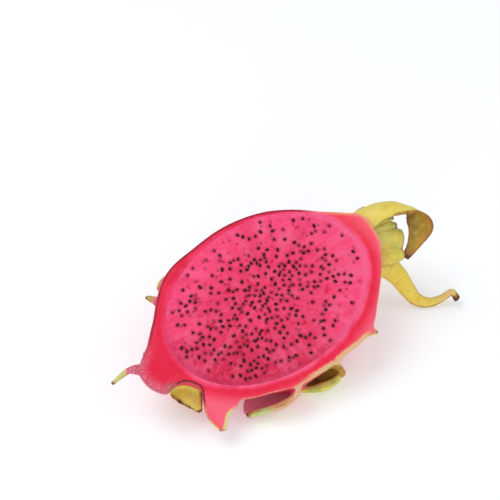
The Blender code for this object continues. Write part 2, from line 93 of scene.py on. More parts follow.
# Each bract: how far its edges curl in, how many mm out from the skin it stays pink, and
# from 0 to 1 how olive its hollow is, how brown its edges and how green its middle; then its
# stations from root to tip: a point of its spine, half-width, thickness, and where its outer
# side faces
RIM_BRACTS = {
    "near_fin": (0.1, 9.5, 0.0, 0.9, 0.0, [
        ((-30, -18, -1), 15, 22, (-0.8, 0.6, 0)),
        ((-37.8, -25.8, -1), 12, 15, (-0.8, 0.6, 0)),
        ((-41.6, -30.6, -1), 7.5, 9.6, (-0.8, 0.5, 0)),
        ((-43.3, -36.7, -1), 2, 2.8, (-0.9, 0.4, 0)),
    ]),
    "corner_fin": (0.15, -2.0, 0.0, 0.4, 0.3, [
        ((23, -24, -2), 11, 18, (0.8, -0.5, 0)),
        ((27.5, -30, -2), 9, 13, (0.8, -0.5, 0)),
        ((31.5, -34.5, -2), 5, 6, (0.9, -0.4, 0)),
        ((34.4, -37.4, -2), 1.2, 1, (1, -0.3, 0)),
    ]),
    "stem_scale": (0.25, -1.5, 0.4, 0.4, 0.6, [
        ((-45, 4, -7), 5, 3, (-0.3, 1, 0.3)),
        ((-49.5, 7.6, -5.5), 3.8, 1.8, (-0.3, 1, 0.3)),
        ((-53.5, 8, -5), 1.2, 1, (-0.3, 1, 0.3)),
    ]),
    "notch_bract": (-0.1, -5.0, 0.0, 0.65, 0.45, [
        ((-42, -6.5, -13), 8.5, 4, (0.1, -0.3, -1)),
        ((-45.2, -13, -9.5), 7.3, 2.2, (0.1, -0.2, -1)),
        ((-45.6, -19, -8.5), 4.4, 1.5, (0, -0.2, -1)),
        ((-45.9, -24.8, -8), 1, 1, (0, -0.3, -1)),
    ]),
    "near_gutter": (0.3, 7.0, 0.0, 0.2, 1.0, [
        ((-2, -33, -12), 6.5, 4, (0, -0.6, -0.8)),
        ((-9, -37, -13.2), 8, 2.6, (0, -0.7, -0.7)),
        ((-16.5, -36, -13.5), 8, 1.8, (0, -0.7, -0.7)),
        ((-23.5, -35.5, -12.5), 7, 1.5, (0, -0.7, -0.7)),
        ((-30, -36, -9.5), 2, 1.1, (0, -0.7, -0.7)),
    ]),
    "near_curl": (0.35, 1.0, 0.7, 0.1, 1.0, [
        ((-2, -27, -19), 8, 4, (0, -0.5, -0.9)),
        ((3, -36.4, -19.8), 10, 2.6, (0.1, -0.6, -0.8)),
        ((9.2, -39.7, -17.6), 8.7, 1.7, (0.1, -0.6, -0.8)),
        ((12.4, -41.6, -14.5), 5.4, 1.2, (0.1, -0.6, -0.8)),
        ((14, -43.8, -12), 1.2, 0.9, (0.1, -0.6, -0.8)),
    ]),
    "gutter_wall": (0.0, 0.5, 0.0, 0.25, 0.4, [
        ((-3, -30, -4), 6, 9, (0.9, -0.3, 0)),
        ((-5.5, -36.2, -4), 5.5, 5, (0.9, -0.3, 0)),
        ((-9.5, -40.2, -4.5), 5, 3, (0.7, -0.7, 0)),
        ((-15, -40.8, -5.5), 4.6, 3.4, (0.1, -1, 0)),
        ((-21, -39.6, -6.5), 3.8, 3.2, (-0.3, -1, 0)),
        ((-26.5, -37.6, -8), 2.4, 2.8, (-0.4, -0.9, 0)),
        ((-30.3, -36.4, -9.6), 1.4, 1.8, (-0.4, -0.9, 0)),
    ]),
    "curl_wall": (0.0, -2.0, 0.95, 0.35, 0.2, [
        ((2, -31, -5), 6, 7, (0.6, 0.8, 0)),
        ((8.5, -35.5, -5), 6, 4.6, (0.6, 0.8, 0)),
        ((11.4, -38.4, -5.5), 6, 3, (0.8, 0.5, 0)),
        ((13, -41.2, -7.5), 4.4, 1.5, (0.9, 0.1, 0)),
        ((13, -43.4, -10), 2.2, 1.2, (0.9, -0.3, 0)),
    ]),
    "curl_lip": (0.0, 0.5, 0.0, 0.15, 0.9, [
        ((-5, -35, -17), 3.4, 4, (0, -1, 0)),
        ((-1.5, -40.5, -14), 3, 3, (-0.3, -0.9, 0)),
        ((4, -43.2, -12.3), 2.8, 4, (-0.1, -1, 0)),
        ((9.2, -44.2, -11), 2.6, 3.8, (0.1, -1, 0)),
        ((13.2, -43.2, -9.8), 2.2, 2.4, (0.5, -0.8, 0)),
    ]),
    "far_scale": (0.25, -0.5, 0.5, 0.45, 0.5, [
        ((-21, 25, -9), 6, 4, (-0.2, 1, 0.1)),
        ((-25.5, 29.3, -7), 4.5, 2.2, (-0.3, 1, 0.1)),
        ((-30, 30, -6.5), 2.8, 1.4, (-0.5, 1, 0.1)),
        ((-33.5, 28, -7), 1, 0.9, (-0.7, 1, 0)),
    ]),
    "far_point": (0.25, 1.0, 0.3, 0.6, 0.5, [
        ((-29, 17, -18), 7, 4, (-0.5, 0.4, -0.6)),
        ((-32.5, 21.5, -15.5), 4.6, 2.2, (-0.6, 0.4, -0.6)),
        ((-35.5, 25, -13.5), 2.6, 1.4, (-0.6, 0.3, -0.6)),
        ((-38, 28.6, -13), 0.8, 0.9, (-0.6, 0.3, -0.6)),
    ]),
    "rear_prop": (0.25, 3.0, 0.2, 0.3, 0.5, [
        ((-16, 6, -29), 9, 6, (-0.4, 1, -0.2)),
        ((-12, 6.5, -34.5), 8, 3.6, (-0.4, 1, -0.2)),
        ((-8.5, 6, -39), 5.5, 2.4, (-0.4, 1, -0.2)),
        ((-6, 4.5, -43), 2.5, 1.8, (-0.4, 1, -0.2)),
    ]),
    "front_prop": (0.25, 3.0, 0.2, 0.3, 0.5, [
        ((12, -19, -26), 9, 6, (0.3, -0.8, -0.8)),
        ((17, -22.5, -28.5), 8, 3.4, (0.3, -0.8, -0.8)),
        ((21, -24.5, -30.8), 5.5, 2.2, (0.2, -0.8, -0.8)),
        ((24.5, -25, -33), 2.5, 1.8, (0, -0.8, -0.8)),
    ]),
}
CROWN_BRACTS = {
    "crown_arch": (0.2, 0.3, 0.95, 0.45, 0.15, [
        ((47, 8.5, -8), 8, 4, (-0.1, 0.6, 0.8)),
        ((57, 6.8, -5.5), 6.5, 2.4, (-0.1, 0.5, 0.85)),
        ((65, 6.4, -2.8), 5.2, 1.8, (0, 0.5, 0.85)),
        ((73, 3.2, -1.4), 4.6, 1.5, (0.2, 0.6, 0.75)),
        ((79.4, -1.6, -3.2), 5.2, 1.3, (0.6, 0.7, 0.3)),
        ((80, -8.2, -8.5), 5.8, 1.2, (0.7, 0.6, -0.3)),
        ((75, -12.8, -14.5), 3.2, 1.1, (0.5, 0.5, -0.7)),
        ((69, -15.8, -18.5), 1.6, 1, (0.45, 0.5, -0.7)),
    ]),
    "crown_fold_upper": (0.25, 0.3, 0.1, 0.3, 0.8, [
        ((48, 4.5, -8), 4.5, 3, (-0.2, 0.2, 1)),
        ((58, 4.2, -5), 3.4, 2, (-0.2, 0.3, 1)),
        ((65, 2.8, -4.6), 2.7, 1.5, (-0.2, 0.3, 1)),
        ((70.5, 0.6, -5.6), 1, 0.9, (-0.2, 0.3, 1)),
    ]),
    "crown_fold_lower": (0.25, 0.3, 0.1, 0.3, 0.8, [
        ((48, 1.5, -9), 4.5, 3, (-0.2, 0, 1)),
        ((58, 1.8, -6.5), 3.4, 2, (-0.2, 0.1, 1)),
        ((65, -0.2, -6.2), 2.7, 1.5, (-0.2, 0.1, 1)),
        ((70.5, -2.8, -7.2), 1, 0.9, (-0.2, 0.1, 1)),
    ]),
    "crown_stub": (0.55, 0.3, 0.0, 0.15, 0.7, [
        ((47, -3, -10), 8, 4, (-0.2, -0.1, 1)),
        ((57.5, -3.2, -7.5), 6, 3, (-0.2, -0.1, 1)),
        ((64, -5.8, -6.6), 5.6, 2.4, (-0.1, -0.1, 1)),
        ((69.8, -9.2, -7.4), 4.4, 1.8, (0.1, -0.1, 1)),
    ]),
    "crown_tongue": (0.5, 0.3, 0.0, 0.15, 0.5, [
        ((47, -8, -13), 7, 4, (-0.2, -0.3, 1)),
        ((55, -9.8, -10.5), 4.8, 3, (-0.2, -0.3, 1)),
        ((61, -12.6, -9.6), 4.4, 2.4, (-0.1, -0.3, 1)),
        ((67, -14.8, -10.6), 2.4, 1.4, (0, -0.3, 1)),
    ]),
    "crown_droop": (0.35, 0.3, 0.1, 0.36, 0.0, [
        ((48, -9, -15), 7, 4, (-0.1, -0.5, 1)),
        ((57.5, -14, -15), 5.6, 2.4, (-0.1, -0.4, 1)),
        ((62, -20.5, -20), 4.6, 1.8, (-0.3, -0.4, 1)),
        ((64.5, -27, -26), 3.8, 1.6, (-0.3, -0.3, 1)),
        ((66.5, -33, -29.5), 3, 1.4, (-0.3, 0, 1)),
        ((70.8, -37.2, -29.8), 2.2, 1.2, (-0.2, 0.2, 1)),
        ((76.5, -38.8, -28.2), 1.7, 1.1, (-0.2, 0.3, 1)),
        ((81.2, -39, -26.5), 1.6, 1.3, (0, 0.3, 1)),
        ((82.4, -43, -28), 2.4, 2.0, (0.6, 0.2, 0.8)),
    ]),
    "crown_rear": (0.25, 1.5, 0.3, 0.5, 0.5, [
        ((46, 6, -14), 8, 4, (0, 1, -0.2)),
        ((54, 9, -15), 7, 2.4, (-0.1, 1, -0.2)),
        ((61, 12, -17), 4.5, 1.6, (0, 1, -0.1)),
        ((67, 13, -21), 1, 1, (0.2, 1, 0)),
    ]),
    "crown_under": (0.25, 1.5, 0.3, 0.5, 0.5, [
        ((46, -4, -17), 8, 4, (0, -0.2, -1)),
        ((54, -5, -21), 7, 2.4, (0.1, -0.2, -1)),
        ((61, -5.5, -26), 5, 1.6, (0.3, -0.2, -1)),
        ((66, -5.5, -32), 1, 1, (0.5, -0.2, -1)),
    ]),
    "crown_heart": (0.25, 0.5, 0.4, 0.5, 0.8, [
        ((50, 2, -12), 6, 4, (0, 0.2, 1)),
        ((60, 1, -13), 4.5, 2, (0, 0.2, 1)),
        ((68, -2, -15), 3, 1.4, (0.2, 0.2, 1)),
        ((74, -3, -19), 0.9, 0.9, (0.4, 0.2, 1)),
    ]),
    "stem_thread": (0.25, 4.0, 0.2, 0.5, 1.0, [
        ((-53, -2, -6), 4.5, 3, (0, 0.3, 1)),
        ((-57.5, 2.5, -4), 2.8, 1.6, (0, 0.3, 1)),
        ((-62, 4.8, -3), 1.6, 1, (0, 0.2, 1)),
        ((-66.7, 4.6, -3), 1, 0.9, (0, 0.2, 1)),
        ((-71, 4, -4), 0.7, 0.8, (0, 0.2, 1)),
    ]),
}

# Bracts under the cut face: place along the fruit, degrees round it from the far rim down,
# length, half-width, and the degrees that they stand off the skin
UNDERSIDE_BRACTS = [
    (4, 28, 20, 8.0, 10),
    (33, 50, 17, 7.0, 10),
    (-42, 62, 15, 6.5, 26),
    (16, 74, 19, 8.0, 18),
    (40, 92, 17, 7.0, 22),
    (-30, 104, 16, 7.5, 12),
    (-48, 126, 13, 6.0, 30),
    (30, 140, 14, 6.5, 12),
]
ROOT_DEPTH = 2.0
ROOT_RUN = 4.0
LEAST_HEIGHT = 1.2
TIP_HALF_WIDTH = 0.8
UNDERSIDE_THICKNESSES = (5, 3, 1.8, 0.9)
UNDERSIDE_LOOK = (0.25, 3.0, 0.25, 0.35, 0.5)
MEASURE_STEP = 0.02

# Blades of the bracts
BLADE_STEPS = 60
BLADE_COLUMNS = 15
BLADE_EDGE = 0.9
RUFFLE = 0.7
RUFFLE_TURNS = 11
RUFFLE_HALF_WIDTH = 4
RIB_RISE = 0.1
RIB_TURNS = 8.0
RAGGED_EDGE = 0.14
RAGGED_TURNS = 9

# The body's skin
SHOULDER_RISE = 1.5
SHOULDER_REACH = 6.5
LUMP_RISE = 0.35
LUMP_SIZE = 13.0

# How body and bracts fuse
RIND_VOXEL = 0.55
CROWN_VOXEL = 0.34
SOFTEN_SHARE = 0.5
SOFTEN_ROUNDS = 2
FILLET_SHARE = 0.6
FILLET_REACH = 2.4
FILLET_ROUNDS = 14
SHARP_ANGLE = 50

# The cut rind: its span each way, the cells it is sliced into, and a shift that keeps the
# slices off its vertices
RIM_SPAN = ((-61, 60), (-39, 36))
CUT_CELL = 0.75
CUT_SHIFT = 0.137
RIM_EDGE_DROP = 0.06
RIM_EDGE_RUN = 0.9
SKIN_EDGE_DROP = 0.2
SKIN_EDGE_RUN = 0.5
RIM_WAVE = 0.16
WAVE_SIZE = 7.0
FINE_WAVE = 0.35
FINE_WAVE_SIZE = 2.0
STREAKS = (24, 0.14)
TOUCH = 1e-4
NOTCH_MIDDLE = (-46.0, -16.0)
CORK_MIDDLE = (-52.5, -11.5)
CAVITY_GAP = 0.02
CAVITY_RINGS = 22
CAVITY_SIDES = 300

PULP_RINGS = 92
PULP_SPOKES = 480
PULP_DIPS = 24
PULP_MEAN_RADIUS = 36.0
PULP_EDGE_DROP = 0.02
PULP_EDGE_RUN = 0.7
PULP_WAVE = 0.14
PULP_LIP = 0.2
FIBRES = (7, 2)
FINE_FIBRES = (22, 3)

# Seeds, their clumps and the two hearts, each with its middle and spread as shares of the pulp
SEED_COUNT = 250
SEED_SPACING = 2.2
SEED_FIELD = 0.94
SEED_HEARTS = ((0.25, 0.12, 0.24), (-0.15, -0.1, 0.26))
SEED_CLUMPS = 24
CLUMP_FIELD = 0.8
CLUMP_SPREAD = 0.1
LONE_SEEDS = 0.12
SEED_RANDOM = 11
SEED_RINGS = 9
SEED_SIDES = 10
SEED_SIZES = (0.72, 1.0)
SEED_SINK = (-0.02, 0.3)
SEED_TURN = 1.2
SEED_LEAN = 0.3
CLOSE_SEEDS = 90
CLOSE_SPACING = 1.25
CLOSE_SIZES = (0.5, 0.8)
SUNK_SEEDS = 110
HALO_REACH = 1.5
SUNK_REACH = 1.0

# Each softbox: its place and aim, its width and its watts
LIGHTS = {
    "softbox_over": ((-0.3, 0.3, 0.85), (0, 0, 0), 0.8, 3.3),
    "softbox_front": ((-0.5, -0.75, 0.35), (0, 0, 0.02), 0.8, 2.3),
    "softbox_side": ((0.5, -0.35, 0.6), (0, 0, 0.02), 0.6, 0.8),
}
FLOOR_REACH = 3.0
FLOOR_GLOW = 0.245
SKY_STRENGTH = 0.5
CAMERA_AZIMUTH = math.radians(-33.5)
CAMERA_ELEVATION = math.radians(45)
CAMERA_DISTANCE = 650 * MM
FRAME_WIDTH = 207.5 * MM
SENSOR_WIDTH = 36.0
AIM_RIGHT = -5.0 * MM
AIM_UP = 20.75 * MM


def linear(text):
    """sRGB hex to linear colour."""
    channels = [int(text[i:i + 2], 16) / 255 for i in (1, 3, 5)]
    return [c / 12.92 if c <= 0.04045 else ((c + 0.055) / 1.055) ** 2.4 for c in channels]


class FruitLook(bpy.types.PropertyGroup):
    """What a user would change on the fruit."""
    pulp_recess: bpy.props.FloatProperty(
        name="Pulp recess", description="How far the pulp lies under the cut rind", default=0.05 * MM,
        min=0.0, max=3 * MM, unit="LENGTH", precision=4)
    seed_length: bpy.props.FloatProperty(
        name="Seed length", description="Length of a seed", default=2.1 * MM, min=1 * MM,
        max=3 * MM, unit="LENGTH", precision=4)
    seed_width: bpy.props.FloatProperty(
        name="Seed width", description="Width of a seed", default=1.2 * MM, min=0.5 * MM,
        max=2 * MM, unit="LENGTH", precision=4)
    skin_colour: bpy.props.FloatVectorProperty(
        name="Skin", description="Outer skin of the rind", subtype="COLOR", min=0, max=1,
        default=linear("#EE3F70"))
    rim_colour: bpy.props.FloatVectorProperty(
        name="Cut rind", description="Freshly cut rind", subtype="COLOR", min=0, max=1,
        default=linear("#EE2549"))
    pulp_colour: bpy.props.FloatVectorProperty(
        name="Pulp", description="Seeded pulp", subtype="COLOR", min=0, max=1,
        default=linear("#FB4A7C"))
    bract_colour: bpy.props.FloatVectorProperty(
        name="Bracts", description="Middle of the bracts", subtype="COLOR", min=0, max=1,
        default=linear("#EBD352"))
    dry_colour: bpy.props.FloatVectorProperty(
        name="Dry tips", description="Dried edges and tips", subtype="COLOR", min=0, max=1,
        default=linear("#5A3D18"))


def fill(node, inputs):
    """Sets a node's inputs, as values or as links from sockets."""
    for name, value in inputs.items():
        if isinstance(value, bpy.types.NodeSocket):
            node.id_data.links.new(value, node.inputs[name])
        else:
            node.inputs[name].default_value = value


def add_node(tree, kind, inputs, **settings):
    node = tree.nodes.new(kind)
    for name, value in settings.items():
        setattr(node, name, value)
    fill(node, inputs)
    return node


def opaque(colour):
    """Hex or linear colour for an input, and a socket as it is."""
    if isinstance(colour, bpy.types.NodeSocket):
        return colour
    return (*(linear(colour) if isinstance(colour, str) else colour), 1.0)


class Mixer:
    """A new material, and short ways to make the nodes that it has many of."""

    def __init__(self, name):
        self.material = bpy.data.materials.new(name)
        self.material.use_nodes = True
        self.tree = self.material.node_tree
        self.shader = self.tree.nodes["Principled BSDF"]

    def math(self, operation, *values, **settings):
        inputs = dict(enumerate(values))
        return add_node(self.tree, "ShaderNodeMath", inputs, operation=operation, **settings).outputs[0]

    def times(self, product, *factors):
        for factor in factors:
            product = self.math("MULTIPLY", product, factor)
        return product

    def uneven(self, value, pattern, reach):
        """A value that a pattern from 0 to 1 shifts up or down by up to half the reach."""
        return self.math("ADD", value, self.math("MULTIPLY_ADD", pattern, reach, -reach / 2))

    def span(self, value, low, high, start, end, interpolation="LINEAR"):
        """Goes from start to end while a value goes from low to high."""
        return add_node(self.tree, "ShaderNodeMapRange", {
            "Value": value, "From Min": low, "From Max": high, "To Min": start, "To Max": end,
        }, interpolation_type=interpolation).outputs["Result"]

    def turn_on(self, value, low, high, most=1.0):
        """A share that rises softly from 0 to its most while a value goes from low to high."""
        return self.span(value, low, high, 0.0, most, "SMOOTHSTEP")

    def patches(self, size, detail=3.0, roughness=0.5):
        """Noise from 0 to 1 with patches of a size in metres."""
        where = add_node(self.tree, "ShaderNodeTexCoord", {}).outputs["Object"]
        return add_node(self.tree, "ShaderNodeTexNoise", {
            "Vector": where, "Scale": 1 / size, "Detail": detail, "Roughness": roughness}).outputs["Fac"]

    def stored(self, names):
        """Values that the mesh has under these names."""
        return [
            add_node(self.tree, "ShaderNodeAttribute", {}, attribute_name=name).outputs["Fac"]
            for name in names.split()]

    def layers(self, tone, *layers):
        """Lays colours over a tone in turn, each by its share from 0 to 1."""
        for share, colour in layers:
            inputs = {"Factor": share, "A": opaque(tone), "B": opaque(colour)}
            tone = add_node(self.tree, "ShaderNodeMix", inputs, data_type="RGBA").outputs["Result"]
        return tone

    def finish(self, relief, strength, depth, colour, **levels):
        """Gives the shader a relief with its depth in metres, a colour, and its other inputs."""
        bump = add_node(
            self.tree, "ShaderNodeBump", {"Height": relief, "Strength": strength, "Distance": depth})
        fill(self.shader, {"Base Color": colour, "Normal": bump.outputs["Normal"]})
        fill(self.shader, {name.replace("_", " "): value for name, value in levels.items()})
        return self.material


def skin_material(look):
    """Waxy dragon fruit skin, grown: satin wax over pink, with pale specks, thickest by the stem.

    Bracts turn from pink at their root to yellow or green, with pale rims where they are
    fresh, an olive hollow that is partly their own aged colour and partly painted shade, and
    rust to brown edges where they are dry. Painted shade darkens their creases, and painted
    light makes their inner sides paler than their own mauve-pink near the root.
    The lip on the near side is pale green at one end and tan at the other.
    """
    mix = Mixer("dragon_fruit_skin_waxy")
    leaf, place, across, olive, brown, green, inner = mix.stored(
        "leaf place across olive brown green inner")
    pale, crease, thin, frost, peach, lip, young = mix.stored("pale crease thin frost peach lip young")
    speck = mix.patches(1.1 * MM, 2.0, 0.7)
    blotch = mix.patches(4 * MM, 4.0)
    cloud = mix.patches(14 * MM)

    wax = mix.turn_on(mix.patches(0.7 * MM, 3.0, 0.8), 0.5, 0.66, 0.8)
    pink = mix.layers(
        "#D3224F", (cloud, look.skin_colour),
        # inner sides of bracts: their own mauve-pink, made paler by painted light where they lie in shade
        (mix.times(inner, 0.95), "#F0AEC0"),
        (mix.turn_on(speck, 0.56, 0.74, 0.4), "#F58FA8"),
        (mix.times(peach, 0.85), "#F2B08C"),
        (mix.times(frost, 0.6), "#D0708A"),
        (mix.times(frost, wax), "#F8D3DC"))

    warm = mix.turn_on(mix.patches(3 * MM, 4.0), 0.52, 0.75, 0.55)
    ripe = mix.math("SUBTRACT", 1.0, mix.times(green, 0.8))
    dots = mix.turn_on(mix.patches(0.8 * MM, 1.0), 0.7, 0.76, 0.45)
    fresh = mix.layers(
        look.bract_colour, (mix.times(green, mix.turn_on(blotch, 0.25, 0.6)), "#B4BE5E"),
        (mix.turn_on(cloud, 0.45, 0.65, 0.35), "#F0E490"),
        (mix.times(warm, ripe), "#DDA33F"),
        (mix.times(pale, 0.7), "#F6E9B4"),
        # painted shade: darker green-brown in the creases along the bracts' edges
        (mix.times(crease, 0.7), "#A08C38"),
        (mix.times(thin, 0.6), "#E2BC90"),
        (lip, mix.layers("#D08A5E", (speck, "#E8C08E"), (young, "#BFCB84"))),
        (dots, "#8A6A2C"))
    old = mix.layers(
        "#54401C", (mix.turn_on(place, 0.2, 0.9), "#C0982E"),
        (mix.turn_on(across, 0.5, -0.7, 0.5), "#6F5A20"),
        (mix.turn_on(across, -0.1, 0.8, 0.45), "#CA8A2C"),
        (mix.turn_on(blotch, 0.4, 0.65, 0.4), "#94792A"))

    yellowing = mix.turn_on(mix.uneven(leaf, blotch, 0.7), 0.25, 0.75)
    browning = mix.turn_on(brown, 0.4, 0.9)
    colour = mix.layers(
        # olive: the bracts' own aged colour, and in their hollow partly painted shade
        pink, (yellowing, fresh), (olive, old),
        (mix.turn_on(brown, 0.1, 0.45, 0.85), "#A8702E"),
        (browning, look.dry_colour))
    veins = mix.times(mix.math("SINE", mix.times(across, 26.0)), yellowing)
    return mix.finish(
        mix.math("MULTIPLY_ADD", veins, 0.2, speck), 0.3, 0.25 * MM, colour,
        Roughness=mix.span(browning, 0.0, 1.0, 0.4, 0.75), IOR=1.45, Specular_IOR_Level=0.35,
        Subsurface_Weight=0.08, Subsurface_Radius=(1.0, 0.5, 0.25), Subsurface_Scale=1.5 * MM)


def cut_rind_material(look):
    """Dragon fruit rind, cut with a knife: wet and full of colour, with faint fibres.

    It is paler by the pulp, partly its own paler inner rind and partly a painted highlight on
    its rounded inner edge, and paler in the middle of the fins. Its far side has no highlight band
    and is darker as painted shade, with a dark crimson skin line that is partly painted shade.
    Fins have a pale green strip of leaf on their inner side, and a tan leafy band runs along the
    near side and the crown. It is dark along the notch, partly the skin's own dark edge and
    partly painted shade in the hollow, corky beside it and waxy by the stem.
    """
    mix = Mixer("dragon_fruit_rind_cut")
    from_pulp, from_skin, streak, away, coral, leafy = mix.stored(
        "from_pulp from_skin streak away coral leafy")
    young, peach, inner, frost, scar, far, cork = mix.stored("young peach inner frost scar far cork")
    cloud = mix.patches(9 * MM, 4.0)
    fibre = mix.patches(1.3 * MM, 4.0)
    speck = mix.patches(0.42 * MM, 2.0, 0.7)
    depth = mix.uneven(from_skin, fibre, 1.2)
    by_skin = mix.times(frost, mix.turn_on(depth, 5.5, 0.5))

    skin_line = mix.layers("#B8404C", (cloud, "#F2C09A"), (mix.turn_on(away, 2.0, 5.0), "#E09A5C"))
    corky = mix.turn_on(mix.uneven(cork, fibre, 1.2), 0.2, 0.7, 0.8)
    cork_tone = mix.layers("#8C4038", (mix.turn_on(speck, 0.4, 0.6), "#C87C6A"))
    strip = mix.times(mix.turn_on(away, 2.0, 6.0), inner, mix.turn_on(depth, 1.9, 1.2))
    band = mix.times(leafy, mix.turn_on(depth, 2.4, 1.3))
    band_tone = mix.layers("#E0A47C", (mix.turn_on(speck, 0.42, 0.6), "#E6CB96"), (young, "#C6CE82"))
    colour = mix.layers(
        # paler by the pulp: partly the rind's own paler inside, partly a painted highlight, which the far
        # side lacks
        "#FF5E8C", (far, "#FA4272"),
        (mix.turn_on(mix.uneven(from_pulp, cloud, 3.0), 0.2, 2.6), look.rim_colour),
        (mix.turn_on(cloud, 0.45, 0.7, 0.45), "#E01E40"),
        (mix.turn_on(streak, 0.1, 0.6, 0.06), "#FF7C98"),
        # painted shade: the far side darker
        (mix.times(far, 0.2), "#CC1638"),
        (mix.times(coral, 0.85), "#FF6C86"),
        (mix.times(peach, 0.5), "#FF5C70"),
        (mix.span(depth, 0.2, 0.55, 0.8, 0.0), skin_line),
        # dark crimson skin line on the far side, partly the skin's edge and partly painted shade
        (mix.times(far, mix.turn_on(depth, 1.5, 0.2)), "#A01230"),
        # dark along the notch: partly the skin's own dark edge, partly painted shade in the hollow
        (mix.times(scar, mix.turn_on(depth, 1.1, 0.5, 0.9)), "#6A1826"),
        (corky, cork_tone), (strip, "#E0D090"), (band, band_tone),
        (mix.times(peach, mix.turn_on(depth, 1.8, 0.2, 0.65)), "#F6B088"),
        (mix.times(by_skin, 0.6), "#D85C7C"),
        (mix.times(by_skin, mix.turn_on(speck, 0.53, 0.66, 0.8)), "#F9CFD8"))
    return mix.finish(
        fibre, 0.35, 0.25 * MM, colour, Roughness=0.42, IOR=1.38, Specular_IOR_Level=0.3,
        Subsurface_Weight=0.15, Subsurface_Radius=(1.0, 0.2, 0.25), Subsurface_Scale=2 * MM)


def pulp_material(look):
    """Dragon fruit pulp, cut: moist and translucent, with milky veils and small blood-red spots.

    Painted light and shade make it lighter away from the low corner by the stem and darker
    in that corner, most at its edge there, and a painted highlight runs along the rind on the
    right. It is also darker round the seeds.
    """
    mix = Mixer("dragon_fruit_pulp_moist")
    halo, sunk, from_rind, lit, glow, fibre = mix.stored("halo sunk from_rind lit glow fibre")
    grain = mix.patches(1.6 * MM, 5.0)
    cloud = mix.patches(11 * MM, 4.0)
    veil = mix.patches(7 * MM, 5.0, 0.6)
    # painted light and shade: lit is the lighter side, unlit the shaded low corner by the stem
    unlit = mix.math("SUBTRACT", 1.0, lit, use_clamp=True)
    in_middle = mix.turn_on(from_rind, 5.0, 18.0)
    blood = mix.turn_on(mix.patches(3.2 * MM, 3.0), 0.58, 0.7, 0.85)
    colour = mix.layers(
        "#D8284F", (mix.turn_on(mix.uneven(lit, cloud, 1.1), 0.0, 1.0), look.pulp_colour),
        (mix.turn_on(veil, 0.48, 0.66, 0.55), "#F0648E"),
        (mix.turn_on(grain, 0.45, 0.7, 0.25), "#FF7A9C"),
        (mix.turn_on(fibre, 0.05, 0.55, 0.28), "#FF76A0"),
        (mix.turn_on(fibre, -0.05, -0.5, 0.24), "#D42850"),
        # painted highlight along the rind on the right
        (mix.times(glow, mix.turn_on(from_rind, 2.6, 0.4, 0.6)), "#FF6C9A"),
        # painted shade at the pulp's edge in the low corner
        (mix.times(unlit, mix.turn_on(from_rind, 3.2, 0.8, 0.4)), "#B83058"),
        (mix.times(in_middle, 0.3), "#D81E44"),
        (mix.times(blood, in_middle), "#D2102E"),
        (mix.times(halo, 0.75), "#96203E"),
        (mix.turn_on(mix.patches(1.1 * MM, 1.0), 0.7, 0.76, 0.7), "#8C1438"),
        (mix.times(sunk, 0.5), "#7A1636"))
    return mix.finish(
        grain, 0.4, 0.3 * MM, colour, Roughness=0.36, IOR=1.36, Specular_IOR_Level=0.3,
        Subsurface_Weight=0.15, Subsurface_Radius=(1.0, 0.2, 0.3), Subsurface_Scale=2 * MM)


def seed_material():
    """Dragon fruit seed coat, grown: smooth, hard and maroon-black, wet with juice."""
    mix = Mixer("dragon_fruit_seed_coat")
    return mix.finish(
        mix.patches(0.4 * MM, 2.0), 0.1, 0.05 * MM,
        mix.layers("#1E0A0E", (mix.patches(2 * MM, 2.0), "#451822")),
        Roughness=0.3, IOR=1.5, Specular_IOR_Level=0.15)


def floor_material():
    """Frosted acrylic sheet, cast: a matt white studio floor, lit from below."""
    mix = Mixer("studio_floor_frosted_acrylic")
    fill(mix.shader, {
        "Base Color": opaque("#ECF2F6"), "Roughness": 0.8, "Emission Color": opaque("#FFFFFF"),
        "Emission Strength": FLOOR_GLOW})
    return mix.material


def along(values, places):
    """Smooth values at places 0 to 1 through evenly spaced rows."""
    values = np.asarray(values, float).reshape(len(values), -1)
    spans = len(values) - 1
    first = np.minimum((places * spans).astype(int), spans - 1)
    rest = (places * spans - first)[:, None]
    start, end = values[first], values[first + 1]
    before, after = values[np.maximum(first - 1, 0)], values[np.minimum(first + 2, spans)]
    leave, arrive = (end - before) / 2, (after - start) / 2
    bend = (end - start) * 3 - leave * 2 - arrive
    close = (start - end) * 2 + leave + arrive
    return start + leave * rest + bend * rest**2 + close * rest**3


def unit(vectors):
    return vectors / np.linalg.norm(vectors, axis=-1, keepdims=True)


def body(places):
    """The body at places 0 to 1: distance along it, middle and half-width of its face, depth."""
    distance, far, near, depth = along(BODY_STATIONS, places).T
    return distance, (far + near) / 2, (far - near) / 2, depth


def skin(places, angles):
    """Points of the body's skin: angle 0 is the far rim, 90 degrees the deepest line."""
    distance, middle, half, depth = body(np.atleast_1d(places))
    angles = np.atleast_1d(angles)
    return np.stack([distance, middle + half * np.cos(angles), -depth * np.sin(angles)], axis=-1)


def station_place(distance):
    places = np.linspace(0, 1, PLACE_STEPS)
    return places[np.argmin(abs(body(places)[0] - distance))]


def height(point):
    """Height over the surface that the fruit lies on."""
    return (TILT @ Vector(point)).z + FACE_HEIGHT


